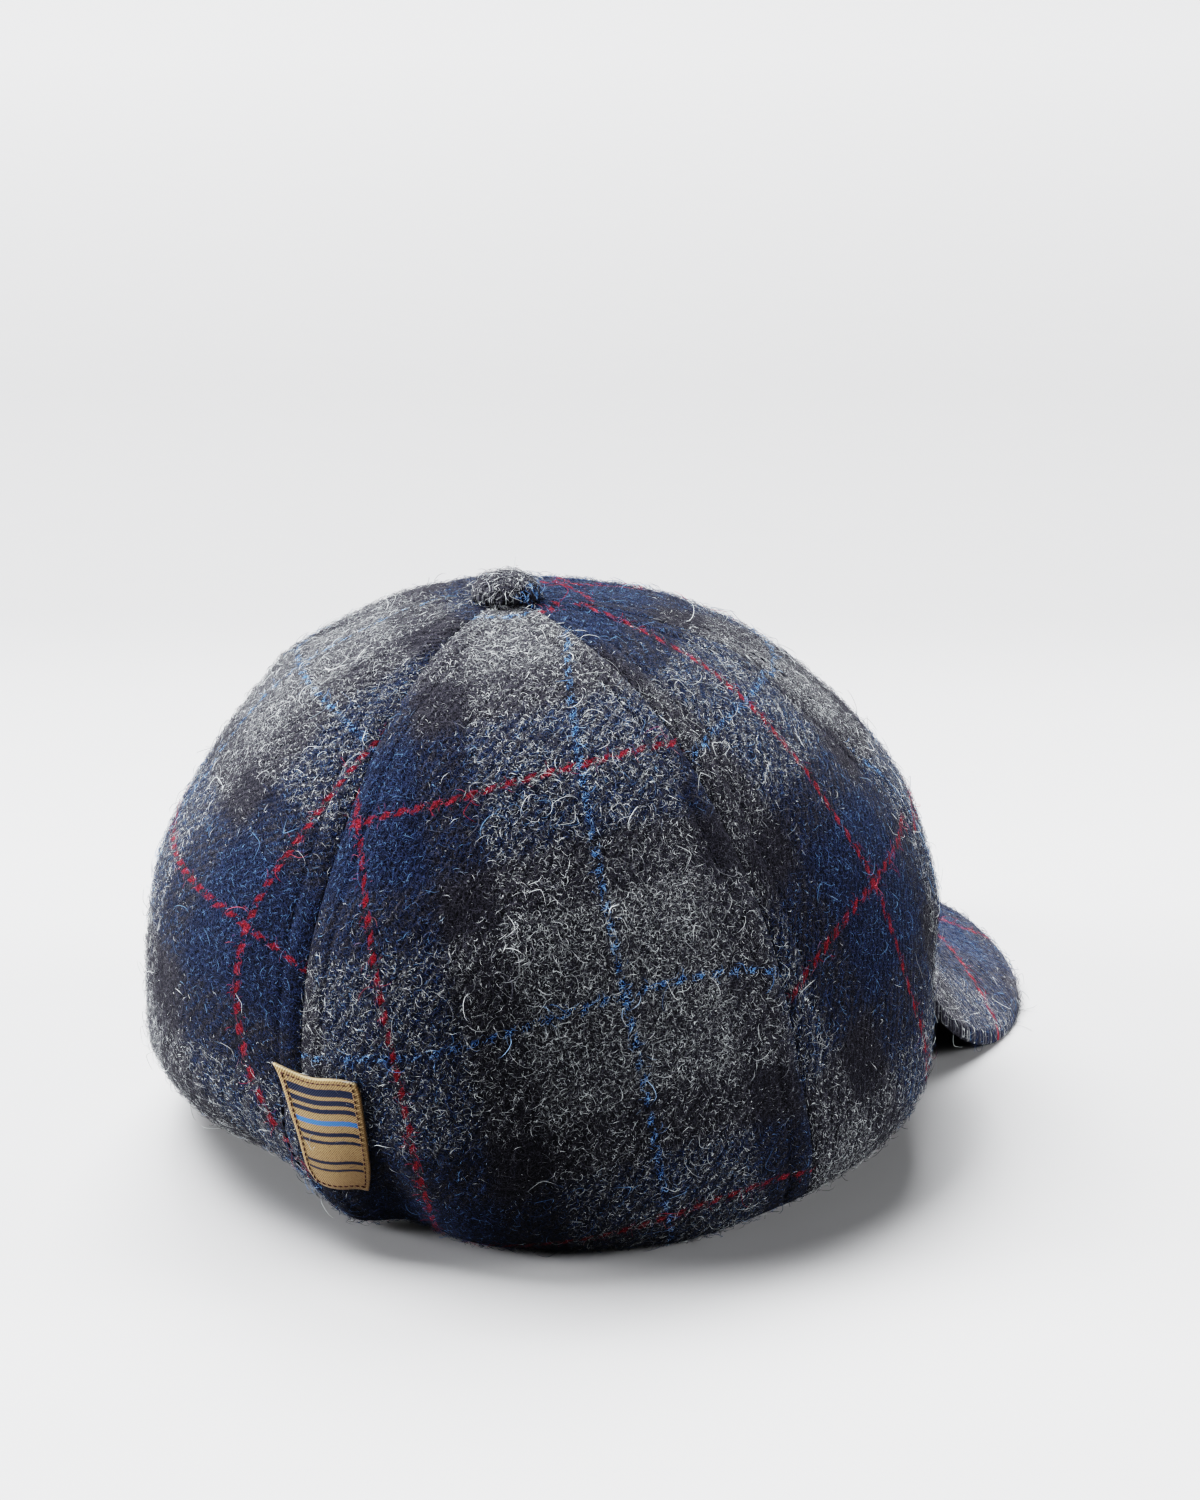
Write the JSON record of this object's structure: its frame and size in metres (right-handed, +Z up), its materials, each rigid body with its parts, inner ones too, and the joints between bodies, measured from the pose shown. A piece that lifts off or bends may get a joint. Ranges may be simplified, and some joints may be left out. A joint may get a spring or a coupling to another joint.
{
  "type": "fitted baseball cap",
  "caption": "Fitted wool cap with a round panelled crown, a covered button on top and a curved peak, worn on the head for warmth and shade.",
  "frame": {"origin": "under the middle of the bounding box, on the surface that the cap lies on", "axes": "+Z up; the peak points to -Y and the back of the crown to +Y; the wearer's left is +X"},
  "size_m": [0.1852, 0.2532, 0.1339],
  "materials": {
    "plaid_wool": "fuzzy brushed wool twill in a navy, grey and black plaid with thin red and light blue lines",
    "button_wool": "speckled grey brushed wool",
    "band_cloth": "plain dark cotton twill",
    "label_weave": "tan woven tape with a stitched border and plain bars"
  },
  "bodies": {
    "root": {"panel_front_left": "plaid_wool", "panel_side_left": "plaid_wool", "panel_back_left": "plaid_wool", "panel_back_right": "plaid_wool", "panel_side_right": "plaid_wool", "panel_front_right": "plaid_wool", "button": "button_wool", "peak": "plaid_wool", "sweatband": "band_cloth", "label": "label_weave"}
  },
  "joints": []
}
